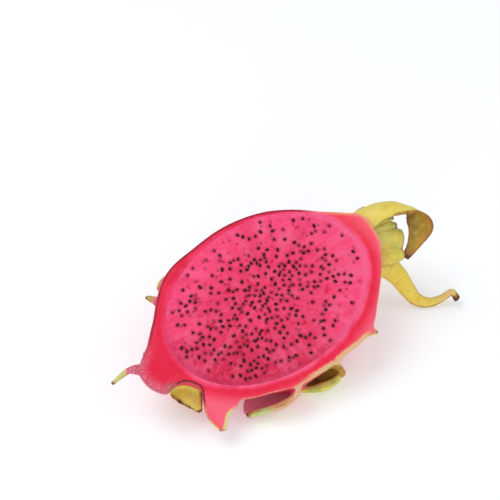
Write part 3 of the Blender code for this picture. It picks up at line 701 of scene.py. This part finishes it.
def underside_bracts():
    """Stations of the bracts that point to the crown over the hidden skin."""
    bracts = {}
    for index, (distance, around, length, half, stand) in enumerate(UNDERSIDE_BRACTS):
        place, angle = station_place(distance), math.radians(around)
        foot = skin(place, angle)[0]
        forward = unit(skin(place + MEASURE_STEP, angle)[0] - foot)
        sideways = unit(skin(place, angle + MEASURE_STEP)[0] - foot)
        outward = unit(np.cross(forward, sideways))
        outward = outward * np.sign(outward @ foot)
        lean = math.radians(stand)
        reach = (forward * math.cos(lean) + outward * math.sin(lean)) * length
        spine = [
            foot - outward * ROOT_DEPTH - forward * ROOT_RUN,
            foot + reach * 0.3 - outward * ROOT_DEPTH * 0.3,
            foot + reach * 0.7,
            foot + reach + outward * length * 0.12,
        ]
        for point in spine[1:]:
            lift = max(LEAST_HEIGHT - height(point), 0.0)
            point += np.array(TILT.transposed() @ Vector((0, 0, lift)))
        halves = [half, half * 0.95, half * 0.6, TIP_HALF_WIDTH]
        rows = [
            (tuple(point), wide, thick, tuple(outward))
            for point, wide, thick in zip(spine, halves, UNDERSIDE_THICKNESSES)]
        bracts[f"underside_bract_{index + 1}"] = (*UNDERSIDE_LOOK, rows)
    return bracts


def closed_skin(grid):
    """Vertices and quads of a closed tube over a grid of rings, with a fan at each end."""
    rings, sides = grid.shape[:2]
    verts = np.concatenate([grid.reshape(-1, 3), grid[0].mean(0)[None], grid[-1].mean(0)[None]])
    faces = []
    for i in range(rings - 1):
        for j in range(sides):
            k = (j + 1) % sides
            faces.append((i * sides + j, i * sides + k, (i + 1) * sides + k, (i + 1) * sides + j))
    start, end, last = rings * sides, rings * sides + 1, (rings - 1) * sides
    for j in range(sides):
        k = (j + 1) % sides
        faces.append((start, k, j))
        faces.append((end, last + j, last + k))
    return verts, faces


def lumps(points, size):
    """Noise from about -1 to 1 at each point, with lumps of a size in mm."""
    return np.array([noise.noise(Vector(point) / size) for point in points])


def spokes(turns, reaches, fineness, run):
    """Noise in streaks that run out from the pulp's middle."""
    return np.array([
        noise.noise(Vector((math.cos(turn) * fineness, math.sin(turn) * fineness, reach * run)))
        for turn, reach in zip(turns, reaches)])


def body_grid(roots):
    """The body's skin, lumpy, and swollen into a shoulder under each bract."""
    places = np.linspace(0, 1, BODY_RINGS)
    angles = 2 * np.pi * (np.arange(BODY_SIDES) + 0.5) / BODY_SIDES
    points = skin(np.repeat(places, BODY_SIDES), np.tile(angles, BODY_RINGS))
    outward = unit(points - points * np.array((0.8, 0, 0)))
    rise = lumps(points, LUMP_SIZE) * LUMP_RISE
    for root in roots:
        gap = ((points - root) ** 2).sum(axis=1)
        rise += SHOULDER_RISE * np.exp(-gap / (2 * SHOULDER_REACH**2))
    return (points + outward * rise[:, None]).reshape(BODY_RINGS, BODY_SIDES, 3)


def blade_grid(stations, cup, wither, phase):
    """Rings of a blade, and for each point its place, its place across and where it faces."""
    spines, halves, thicknesses, facings = zip(*stations)
    places = np.linspace(0, 1, BLADE_STEPS)
    behind = along(spines, np.maximum(places - MEASURE_STEP, 0))
    ahead = along(spines, np.minimum(places + MEASURE_STEP, 1))
    run = unit(ahead - behind)
    side = unit(np.cross(run, unit(along(facings, places))))
    outward = np.cross(side, run)
    middle = along(spines, places)
    half, thick = along(halves, places)[:, 0], along(thicknesses, places)[:, 0]
    out = np.clip((places - 0.2) / 0.3, 0, 1)
    ruffle = RUFFLE * wither * np.sin(places * RUFFLE_TURNS + phase * 2)
    ruffle = ruffle * np.minimum(half / RUFFLE_HALF_WIDTH, 1) * out
    rings, across_all, layers = [], [], []
    for layer in (1, -1):
        for i in range(BLADE_COLUMNS):
            across = layer * (2 * i / (BLADE_COLUMNS - 1) - 1)
            depth = BLADE_EDGE + np.maximum(thick - BLADE_EDGE, 0) * (1 - across**2)
            rib = RIB_RISE * out * (1 - across**2) * np.cos(across * RIB_TURNS + phase)
            ragged = np.array([
                noise.noise(Vector((place * RAGGED_TURNS, math.copysign(4, across), phase)))
                for place in places])
            reach = half * across * (1 + RAGGED_EDGE * wither * ragged * out)
            rise = layer * depth / 2 - cup * half * across**2 + ruffle * across * abs(across) + rib
            rings.append(middle + side * reach[:, None] + outward * rise[:, None])
            across_all.append(np.full(BLADE_STEPS, across))
            layers.append(np.full(BLADE_STEPS, float(layer < 0)))
    facts = {
        "place": np.repeat(places, 2 * BLADE_COLUMNS),
        "across": np.stack(across_all, axis=1).ravel(),
        "inner": np.stack(layers, axis=1).ravel(),
        "half": np.repeat(half, 2 * BLADE_COLUMNS),
        "outward": np.repeat(outward, 2 * BLADE_COLUMNS, axis=0),
    }
    return np.stack(rings, axis=1), facts


def tree_of(points):
    tree = kdtree.KDTree(len(points))
    for index, point in enumerate(points):
        tree.insert(point, index)
    tree.balance()
    return tree


def nearest(tree, points):
    """Distance to, and number of, the nearest point of a tree, for each point."""
    found = [tree.find(point)[1:] for point in points]
    return np.array([gap for _, gap in found]), np.array([index for index, _ in found])


def add_object(name, data):
    obj = bpy.data.objects.new(name, data)
    bpy.context.scene.collection.objects.link(obj)
    return obj


def join(name, shells):
    """One mesh of closed shells, each given by vertices and faces, all facing outwards."""
    verts, faces, base = [], [], 0
    for shell_verts, shell_faces in shells:
        verts.append(shell_verts)
        faces += [tuple(base + i for i in face) for face in shell_faces]
        base += len(shell_verts)
    mesh = bpy.data.meshes.new(name)
    mesh.from_pydata(np.concatenate(verts).tolist(), [], faces)
    tool = bmesh.new()
    tool.from_mesh(mesh)
    bmesh.ops.recalc_face_normals(tool, faces=tool.faces)
    tool.to_mesh(mesh)
    tool.free()
    return mesh


def fuse(shells, voxel):
    """One even skin over closed shells that overlap."""
    obj = add_object("shells", join("shells", shells))
    remesh = obj.modifiers.new("remesh", "REMESH")
    remesh.mode = "VOXEL"
    remesh.voxel_size = voxel
    depsgraph = bpy.context.evaluated_depsgraph_get()
    fused = bpy.data.meshes.new_from_object(obj.evaluated_get(depsgraph))
    bpy.data.objects.remove(obj, do_unlink=True)
    return fused


def read_points(mesh):
    points = np.empty(len(mesh.vertices) * 3)
    mesh.vertices.foreach_get("co", points)
    return points.reshape(-1, 3)


def move_points(mesh, points):
    mesh.vertices.foreach_set("co", points.ravel())


def read_edges(mesh):
    edges = np.empty(len(mesh.edges) * 2, dtype=np.int64)
    mesh.edges.foreach_get("vertices", edges)
    return edges.reshape(-1, 2)


def relax(points, edges, share, rounds):
    """Moves each point a share of the way to the middle of its neighbours, a few times."""
    count = np.bincount(edges.ravel(), minlength=len(points))[:, None]
    for _ in range(rounds):
        total = np.zeros_like(points)
        for axis in range(3):
            total[:, axis] = (
                np.bincount(edges[:, 0], points[edges[:, 1], axis], len(points))
                + np.bincount(edges[:, 1], points[edges[:, 0], axis], len(points)))
        points = points + share * (total / np.maximum(count, 1) - points)
    return points


def outside(points):
    """Whether points lie outside the body's skin: 1 where they do and -1 where not."""
    spots = np.linspace(0, 1, OUTSIDE_STEPS)
    _, middle, half, depth = body(np.interp(points[:, 0], body(spots)[0], spots))
    ends = (points[:, 0] < BODY_STATIONS[0][0]) | (points[:, 0] > BODY_STATIONS[-1][0])
    return np.where(
        ends | (((points[:, 1] - middle) / half) ** 2 + (points[:, 2] / depth) ** 2 > 1), 1.0, -1.0)


def smooth(values, low, high):
    """0 under low and 1 over high, with a soft step between."""
    share = np.clip((values - low) / (high - low), 0, 1)
    return share * share * (3 - 2 * share)


def store(mesh, **facts):
    """Stores named values on a mesh, one for each vertex."""
    for name, values in facts.items():
        layer = mesh.attributes.get(name) or mesh.attributes.new(name, "FLOAT", "POINT")
        layer.data.foreach_set("value", np.ascontiguousarray(values, dtype=np.float32))


class Growth:
    """Shells of bracts, with what a fused skin needs to be coloured by them."""

    def __init__(self, bracts):
        self.shells, points, facts_of, looks = [], [], [], []
        for number, (cup, *look, stations) in enumerate(bracts.values()):
            grid, facts = blade_grid(stations, cup, look[2], phase=number * 1.7)
            self.shells.append(closed_skin(grid))
            points.append(grid.reshape(-1, 3))
            facts_of.append(facts)
            looks.append(np.tile(look, (len(facts["place"]), 1)))
        self.points, self.looks = np.concatenate(points), np.concatenate(looks)
        self.facts = {name: np.concatenate([facts[name] for facts in facts_of]) for name in facts_of[0]}
        self.tree = tree_of(self.points)

    def paint(self, mesh, body_tree):
        """Stores how far each vertex has turned from skin to leaf, and how it aged.

        Its own numbers are in mm, or shares of the way along or across a bract.
        """
        points = read_points(mesh)
        x, y, z = points.T
        normals = np.array([vertex.normal[:] for vertex in mesh.vertices])
        away = nearest(body_tree, points)[0] * outside(points)
        gap, index = nearest(self.tree, points)
        near = 1 - smooth(gap, 1.0, 3.5)
        place, across = self.facts["place"][index], self.facts["across"][index]
        blush, age, wither, green = self.looks[index].T
        inner = smooth(-(normals * self.facts["outward"][index]).sum(axis=1), 0.0, 0.5)
        edge = smooth(abs(across), 0.9 - 0.45 * wither, 1.0 - 0.2 * wither) * smooth(place, 0.25, 0.5)
        # the middle of a bract's inner side, where its olive is partly painted shade
        hollow = 1 - smooth(abs(across), 0.5, 0.8) * (age < 0.9)
        tip = smooth(place, 0.88, 1.0)
        rough = lumps(points, 2.2)
        leaf = smooth(away - blush, 0.0, 2.8) * near
        dry = wither * (edge * (1.2 + 0.4 * rough) + rough * 0.15) + tip * np.minimum(3 * wither, 1)
        aged = leaf * inner * age * hollow * (1 + 0.5 * rough) * smooth(place, 0.1, 0.4)
        fresh = np.clip(1 - 2 * wither, 0, 1)
        side = smooth(abs(across), 0.7, 0.95)
        rims = np.maximum(side * inner, smooth(place, 0.9, 1.0)) * smooth(place, 0.2, 0.6)
        store(
            mesh, away=np.maximum(away, 0) * near, leaf=leaf, place=place * near, across=across,
            olive=np.clip(aged, 0, 1), brown=np.clip(leaf * dry, 0, 1), green=green,
            inner=inner * near * smooth(away, 0.5, 2.0), pale=rims * fresh,
            # painted shade in the creases at the sides of a bract's outer face
            crease=side * (1 - inner) * fresh * (1 - smooth(place, 0.75, 0.95)),
            thin=(1 - smooth(self.facts["half"][index], 1.5, 2.1)) * (1 - green),
            frost=smooth(-x, 46, 58), peach=smooth(x + z * 0.5, 42, 54),
            lip=smooth(-y, 36.2, 37.6) * smooth(z, -9, -6) * (1 - smooth(x, -3, 1)),
            young=smooth(-x, 19, 23.5))


def fruit_origin():
    """The cut face's middle, from the flesh's own box read in the tilted frame, in mm."""
    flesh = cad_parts["flesh"]
    turned = np.array([(TILT.transposed() @ vertex.co)[:] for vertex in flesh.data.vertices]) / MM
    middle = (turned.min(axis=0) + turned.max(axis=0)) / 2 - PULP_CENTRE
    row = TILT[2]
    depth = (FACE_HEIGHT - row[0] * middle[0] - row[1] * middle[1]) / row[2]
    return TILT @ Vector((middle[0], middle[1], depth))


def lay_down(mesh):
    """Tilts a mesh to the way the half lies, in metres, and sets it on the surface."""
    points = read_points(mesh) @ np.array(TILT.transposed()) + np.array(fruit_origin())
    points[:, 2] = np.maximum(points[:, 2], 0.0)
    move_points(mesh, points * MM)
    mesh.update()


def make_piece(name, mesh, materials, nodes):
    """Lays a mesh down as a piece that takes the place of the part's nodes."""
    lay_down(mesh)
    for material in materials:
        mesh.materials.append(material)
    mesh.shade_smooth()
    mesh.set_sharp_from_angle(angle=math.radians(SHARP_ANGLE))
    obj = add_object(name, mesh)
    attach(obj, "root")
    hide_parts(*nodes)


def drop_scraps(tool):
    """Keeps only the largest joined body of a mesh."""
    seen, bodies = set(), []
    for first in tool.verts:
        if first in seen:
            continue
        seen.add(first)
        joined, front = [first], [first]
        while front:
            vertex = front.pop()
            for edge in vertex.link_edges:
                other = edge.other_vert(vertex)
                if other not in seen:
                    seen.add(other)
                    joined.append(other)
                    front.append(other)
        bodies.append(joined)
    largest = max(bodies, key=len)
    for scrap in bodies:
        if scrap is not largest:
            bmesh.ops.delete(tool, geom=scrap, context="VERTS")


def round_pulp(points):
    """How far out points lie, as a share of the pulp's outline, and their angle round it."""
    flat = (points[..., :2] - PULP_CENTRE[:2]) / PULP_RADII[:2]
    return np.linalg.norm(flat, axis=-1), np.arctan2(flat[..., 1], flat[..., 0])


def pulp_ring(count, dip, gap=0.0):
    """A ring of points round the pulp, some angle down from its edge and a gap off it."""
    angles = 2 * np.pi * np.arange(count) / count
    flat = np.stack([
        math.cos(dip) * np.cos(angles), math.cos(dip) * np.sin(angles),
        np.full(count, -math.sin(dip))], axis=-1)
    return PULP_CENTRE + flat * (PULP_RADII + gap)


def cut_and_hollow(mesh):
    """Cuts a fused body at the cut face, and makes the face's rind and the pulp's hollow."""
    tool = bmesh.new()
    tool.from_mesh(mesh)
    everything = tool.verts[:] + tool.edges[:] + tool.faces[:]
    bmesh.ops.bisect_plane(
        tool, geom=everything, plane_co=(0, 0, 0), plane_no=(0, 0, 1), clear_outer=True)
    drop_scraps(tool)
    outline = [edge for edge in tool.edges if edge.is_boundary]
    sides = [(i, (i + 1) % CAVITY_SIDES) for i in range(CAVITY_SIDES)]
    above = [tool.verts.new(point) for point in pulp_ring(CAVITY_SIDES, 0.0, CAVITY_GAP)]
    inner = [tool.edges.new((above[i], above[j])) for i, j in sides]
    filled = bmesh.ops.triangle_fill(tool, edges=outline + inner, use_beauty=True)
    rim = [part for part in filled["geom"] if isinstance(part, bmesh.types.BMFace)]
    hollow = []
    for ring in range(1, CAVITY_RINGS):
        dip = math.pi / 2 * ring / CAVITY_RINGS
        row = [tool.verts.new(point) for point in pulp_ring(CAVITY_SIDES, dip, CAVITY_GAP)]
        hollow += [tool.faces.new((above[i], above[j], row[j], row[i])) for i, j in sides]
        above = row
    bottom = tool.verts.new(PULP_CENTRE - np.array((0, 0, PULP_RADII[2] + CAVITY_GAP)))
    hollow += [tool.faces.new((above[i], above[j], bottom)) for i, j in sides]
    for face in rim + hollow:
        face.material_index = 1
    divide_rim(tool, rim)
    bmesh.ops.recalc_face_normals(tool, faces=tool.faces)
    bmesh.ops.triangulate(tool, faces=[face for face in tool.faces if len(face.verts) > 3])
    tool.to_mesh(mesh)
    tool.free()


def divide_rim(tool, rim):
    """Slices the flat rim both ways into small cells, so that it can be given relief."""
    geometry = set(rim)
    for face in rim:
        geometry.update(face.edges)
        geometry.update(face.verts)
    geometry = list(geometry)
    for (low, high), normal in zip(RIM_SPAN, ((1, 0, 0), (0, 1, 0))):
        for cut in np.arange(low, high, CUT_CELL):
            place = Vector(normal) * (cut + CUT_SHIFT)
            result = bmesh.ops.bisect_plane(tool, geom=geometry, plane_co=place, plane_no=normal)
            geometry = result["geom"]


def shape_rim(mesh, growth):
    """Rounds the cut rind at both edges, and gives it the slight waves of a knife.

    It also stores, by distances in mm, where the rind has its bands and patches of colour,
    and where its painted highlight and painted shade go.
    """
    points = read_points(mesh)
    on_face = abs(points[:, 2]) < TOUCH
    skin_side = np.zeros(len(points), bool)
    for polygon in mesh.polygons:
        if polygon.material_index == 0:
            skin_side[list(polygon.vertices)] = True
    ratio, turn = round_pulp(points)
    slope = np.linalg.norm((points - PULP_CENTRE)[:, :2] / PULP_RADII[:2] ** 2, axis=1) / ratio
    from_pulp = np.maximum(ratio - 1, 0) / slope
    numbers = np.nonzero(on_face)[0]
    flat = points[numbers]
    gap, _ = nearest(tree_of(points[on_face & skin_side]), flat)
    from_skin, streak = np.zeros(len(points)), np.zeros(len(points))
    from_skin[numbers] = gap
    streak[numbers] = spokes(turn[numbers], from_pulp[numbers], *STREAKS)
    inner = np.empty(len(points), dtype=np.float32)
    mesh.attributes["inner"].data.foreach_get("value", inner)
    _, index = nearest(growth.tree, flat)
    inner[numbers] = growth.facts["inner"][index]
    x, y = points[:, 0], points[:, 1]
    near_side = smooth(x, -6, 4) * (1 - smooth(x, 28, 33)) * smooth(-y, 14, 20)
    store(
        mesh, from_pulp=from_pulp, from_skin=from_skin, streak=streak, inner=inner,
        coral=smooth(from_pulp, 2.5, 9) * smooth(x, -50, -42),
        leafy=np.maximum(near_side, smooth(-y, 36.8, 38.2)),
        # far: the side left without the painted highlight band and darkened as painted shade
        peach=smooth(x + 0.5 * y, 46, 58), far=smooth(y - 0.4 * x, 2, 12),
        # the notch: the skin's dark edge and painted shade in its hollow
        scar=1 - smooth(np.hypot(x - NOTCH_MIDDLE[0], y - NOTCH_MIDDLE[1]), 6, 10),
        cork=1 - smooth(np.hypot(x - CORK_MIDDLE[0], y - CORK_MIDDLE[1]), 1.0, 5.0))
    wave = (lumps(flat, WAVE_SIZE) + lumps(flat, FINE_WAVE_SIZE) * FINE_WAVE) * RIM_WAVE
    drop = RIM_EDGE_DROP * np.exp(-from_pulp[numbers] / RIM_EDGE_RUN)
    drop = drop + SKIN_EDGE_DROP * np.exp(-gap / SKIN_EDGE_RUN)
    points[numbers, 2] += wave * np.clip(gap / 1.5, 0, 1) - drop
    move_points(mesh, points)


class FRUIT_OT_rind(bpy.types.Operator):
    """Make the rind, with the bracts that grow from its sides"""
    bl_idname = "fruit.rind"
    bl_label = "Make rind"

    def execute(self, context):
        look = context.scene.fruit_look
        bracts = {**RIM_BRACTS, **underside_bracts()}
        roots = [np.array(bract[-1][1][0], float) for bract in bracts.values()]
        grid = body_grid(roots)
        growth = Growth(bracts)
        mesh = fuse([closed_skin(grid)] + growth.shells, RIND_VOXEL)
        body_tree = tree_of(grid.reshape(-1, 3))
        edges = read_edges(mesh)
        points = relax(read_points(mesh), edges, SOFTEN_SHARE, SOFTEN_ROUNDS)
        to_body, _ = nearest(body_tree, points)
        to_bract, _ = nearest(growth.tree, points)
        corner = np.clip(1 - np.maximum(to_body, to_bract) / FILLET_REACH, 0, 1)[:, None]
        move_points(mesh, relax(points, edges, FILLET_SHARE * np.sqrt(corner), FILLET_ROUNDS))
        cut_and_hollow(mesh)
        growth.paint(mesh, body_tree)
        shape_rim(mesh, growth)
        make_piece("rind", mesh, [skin_material(look), cut_rind_material(look)], ["peel"])
        return {"FINISHED"}


class FRUIT_OT_crown(bpy.types.Operator):
    """Make the bracts of the crown, and the thread of a bract at the stem end"""
    bl_idname = "fruit.crown"
    bl_label = "Make crown"

    def execute(self, context):
        growth = Growth(CROWN_BRACTS)
        mesh = fuse(growth.shells, CROWN_VOXEL)
        move_points(mesh, relax(read_points(mesh), read_edges(mesh), SOFTEN_SHARE, SOFTEN_ROUNDS))
        growth.paint(mesh, tree_of(body_grid([]).reshape(-1, 3)))
        make_piece("crown_bracts", mesh, [skin_material(context.scene.fruit_look)], ["peel"])
        return {"FINISHED"}


def pulp_height(x, y, recess):
    """Height of the cut pulp: slight knife waves, rolled down all round at the rind."""
    share, _ = round_pulp(np.stack([x, y], axis=-1))
    edge = np.maximum(1 - share, 0) * PULP_MEAN_RADIUS
    wave = np.array([
        noise.noise(Vector((u / 16, v / 9, 3))) + 0.4 * noise.noise(Vector((u / 4, v / 4, 8)))
        for u, v in zip(x, y)])
    roll = PULP_EDGE_DROP * np.exp(-edge / PULP_EDGE_RUN)
    return -recess + PULP_WAVE * wave * np.clip(edge / 2, 0, 1) - roll


class FRUIT_OT_pulp(bpy.types.Operator):
    """Make the pulp, which fills the rind's hollow"""
    bl_idname = "fruit.pulp"
    bl_label = "Make pulp"

    def execute(self, context):
        look = context.scene.fruit_look
        angles = 2 * np.pi * np.arange(PULP_SPOKES) / PULP_SPOKES
        rings = []
        for out in np.linspace(0.004, 1, PULP_RINGS) ** 0.9:
            x = PULP_CENTRE[0] + PULP_RADII[0] * out * np.cos(angles)
            y = PULP_CENTRE[1] + PULP_RADII[1] * out * np.sin(angles)
            rings.append(np.stack([x, y, pulp_height(x, y, look.pulp_recess / MM)], axis=-1))
        lip = rings[-1][:, 2].mean()
        for dip in np.linspace(0.03, math.pi / 2 - 0.02, PULP_DIPS):
            ring = pulp_ring(PULP_SPOKES, dip)
            ring[:, 2] = np.minimum(ring[:, 2], lip - PULP_LIP)
            rings.append(ring)
        mesh = join("pulp", [closed_skin(np.stack(rings))])
        paint_pulp(mesh)
        make_piece("pulp", mesh, [pulp_material(look)], ["flesh"])
        return {"FINISHED"}


def seed_places():
    """Seed centres on the cut pulp, in clumps, and closest round two hearts near its middle."""
    draw = random.Random(SEED_RANDOM)
    clumps = list(SEED_HEARTS)
    for _ in range(SEED_CLUMPS):
        clumps.append((*(draw.uniform(-CLUMP_FIELD, CLUMP_FIELD) for _ in range(2)), CLUMP_SPREAD))
    places = []
    while len(places) < SEED_COUNT + CLOSE_SEEDS:
        x, y = draw.uniform(-1, 1), draw.uniform(-1, 1)
        crowd = sum(math.exp(-((x - u) ** 2 + (y - v) ** 2) / spread**2) for u, v, spread in clumps)
        wanted = draw.random() < LONE_SEEDS + (1 - LONE_SEEDS) * crowd
        spot = Vector((x * PULP_RADII[0], y * PULP_RADII[1], 0)) * SEED_FIELD
        spacing = SEED_SPACING if len(places) < SEED_COUNT else CLOSE_SPACING
        apart = all((spot - other).length > spacing for other in places)
        if x * x + y * y < 1 and wanted and apart:
            places.append(spot)
    return places


def sunk_places():
    """Centres of seeds that lie too deep to break the cut, and show as dark spots."""
    draw = random.Random(SEED_RANDOM + 2)
    places = []
    while len(places) < SUNK_SEEDS:
        x, y = draw.uniform(-1, 1), draw.uniform(-1, 1)
        if x * x + y * y < 1:
            places.append((x * PULP_RADII[0] * SEED_FIELD, y * PULP_RADII[1] * SEED_FIELD, 0))
    return places


def paint_pulp(mesh):
    """Stores nearness to seeds, deeper seeds and rind, and painted light and shade, for the pulp."""
    points = read_points(mesh)
    flat = points - PULP_CENTRE
    flat[:, 2] = 0

    def closeness(places, reach):
        gap, _ = nearest(tree_of(places), flat)
        return (1 - smooth(gap, 0.3 * reach, reach)) * (points[:, 2] > -2)

    x, y, _ = points.T
    share, turn = round_pulp(points)
    store(
        mesh, halo=closeness(seed_places(), HALO_REACH), sunk=closeness(sunk_places(), SUNK_REACH),
        from_rind=np.maximum(1 - share, 0) * PULP_MEAN_RADIUS,
        # painted light towards the right and top, and a painted highlight along the rind on the right
        lit=smooth(x * 0.35 + y * 0.6, -24, 2), glow=smooth(x * 0.8 - y * 0.3, 12, 30),
        fibre=spokes(turn, share, *FIBRES) + 0.5 * spokes(turn, share, *FINE_FIBRES))


def seed_grid(length, width):
    """A drop: blunt at one end and narrower at the other, slightly flat."""
    angles = 2 * np.pi * np.arange(SEED_SIDES) / SEED_SIDES
    rings = []
    for turn in np.linspace(0.08, math.pi - 0.08, SEED_RINGS):
        reach = math.sin(turn) * (1 + 0.28 * math.cos(turn)) * width / 2
        x = -math.cos(turn) * length / 2
        rings.append(np.stack([
            np.full(SEED_SIDES, x), reach * np.cos(angles), reach * 0.8 * np.sin(angles)], axis=-1))
    return np.stack(rings)


class FRUIT_OT_seeds(bpy.types.Operator):
    """Make the seeds, half sunk in the cut pulp"""
    bl_idname = "fruit.seeds"
    bl_label = "Make seeds"

    def execute(self, context):
        look = context.scene.fruit_look
        draw = random.Random(SEED_RANDOM + 1)
        shape, faces = closed_skin(seed_grid(look.seed_length / MM, look.seed_width / MM))
        seeds = []
        for number, spot in enumerate(seed_places()):
            turn = math.atan2(spot.y, spot.x) + draw.uniform(-SEED_TURN, SEED_TURN)
            scale = draw.uniform(*(SEED_SIZES if number < SEED_COUNT else CLOSE_SIZES))
            sink = draw.uniform(*SEED_SINK)
            tip = Matrix.Rotation(draw.uniform(-SEED_LEAN, SEED_LEAN), 3, "Y")
            lean = Matrix.Rotation(turn, 3, "Z") @ tip
            x, y = PULP_CENTRE[0] + spot.x, PULP_CENTRE[1] + spot.y
            top = pulp_height(np.array([x]), np.array([y]), look.pulp_recess / MM)[0]
            turned = shape @ np.array(lean.transposed())
            seeds.append((turned * scale + np.array((x, y, top - sink)), faces))
        make_piece("seeds", join("seeds", seeds), [seed_material()], ["flesh"])
        return {"FINISHED"}


def add_light(name, place, aim, size, power):
    data = bpy.data.lights.new(name, "AREA")
    data.shape, data.size, data.energy = "DISK", size, power
    lamp = add_object(name, data)
    lamp.location = place
    lamp.rotation_euler = (Vector(aim) - Vector(place)).to_track_quat("-Z", "Y").to_euler()


class FRUIT_OT_stage(bpy.types.Operator):
    """Make the floor, the studio lights and the camera"""
    bl_idname = "fruit.stage"
    bl_label = "Make stage"

    def execute(self, context):
        scene = context.scene
        mesh = bpy.data.meshes.new("floor")
        corners = [(x * FLOOR_REACH, y * FLOOR_REACH, 0) for x, y in ((-1, -1), (1, -1), (1, 1), (-1, 1))]
        mesh.from_pydata(corners, [], [(0, 1, 2, 3)])
        mesh.materials.append(floor_material())
        floor = add_object("floor", mesh)
        world = bpy.data.worlds.new("studio")
        world.use_nodes = True
        fill(world.node_tree.nodes["Background"], {"Color": opaque("#FFFFFF"), "Strength": SKY_STRENGTH})
        scene.world = world
        for name, light in LIGHTS.items():
            add_light(name, *light)
        scene.view_settings.view_transform = "Standard"
        place_camera(scene)
        return {"FINISHED"}


def place_camera(scene):
    """Camera with the fruit's cut face a little below and right of the picture's middle."""
    back = Vector((
        math.sin(CAMERA_AZIMUTH) * math.cos(CAMERA_ELEVATION),
        -math.cos(CAMERA_AZIMUTH) * math.cos(CAMERA_ELEVATION), math.sin(CAMERA_ELEVATION)))
    right = Vector((math.cos(CAMERA_AZIMUTH), math.sin(CAMERA_AZIMUTH), 0))
    aim = Vector(fruit_origin()) * MM + right * AIM_RIGHT + back.cross(right) * AIM_UP
    data = bpy.data.cameras.new("camera")
    data.sensor_width = SENSOR_WIDTH
    data.lens = SENSOR_WIDTH * CAMERA_DISTANCE / FRAME_WIDTH
    camera = add_object("camera", data)
    camera.location = aim + back * CAMERA_DISTANCE
    camera.rotation_euler = back.to_track_quat("Z", "Y").to_euler()
    scene.camera = camera


class FRUIT_PT_panel(bpy.types.Panel):
    """Sizes and colours of the fruit, and what makes its pieces"""
    bl_idname = "FRUIT_PT_panel"
    bl_label = "Dragon Fruit Half"
    bl_space_type = "VIEW_3D"
    bl_region_type = "UI"
    bl_category = "Fruit"

    def draw(self, context):
        look = context.scene.fruit_look
        for name in FruitLook.__annotations__:
            self.layout.prop(look, name)
        for operator in OPERATORS:
            self.layout.operator(operator.bl_idname)


OPERATORS = [FRUIT_OT_rind, FRUIT_OT_crown, FRUIT_OT_pulp, FRUIT_OT_seeds, FRUIT_OT_stage]
CLASSES = [FruitLook, *OPERATORS, FRUIT_PT_panel]


def register():
    for cls in CLASSES:
        bpy.utils.register_class(cls)
    bpy.types.Scene.fruit_look = bpy.props.PointerProperty(type=FruitLook)


def unregister():
    del bpy.types.Scene.fruit_look
    for cls in reversed(CLASSES):
        bpy.utils.unregister_class(cls)


def main():
    register()
    bpy.ops.fruit.rind()
    bpy.ops.fruit.crown()
    bpy.ops.fruit.pulp()
    bpy.ops.fruit.seeds()
    bpy.ops.fruit.stage()


if __name__ == "__main__":
    main()
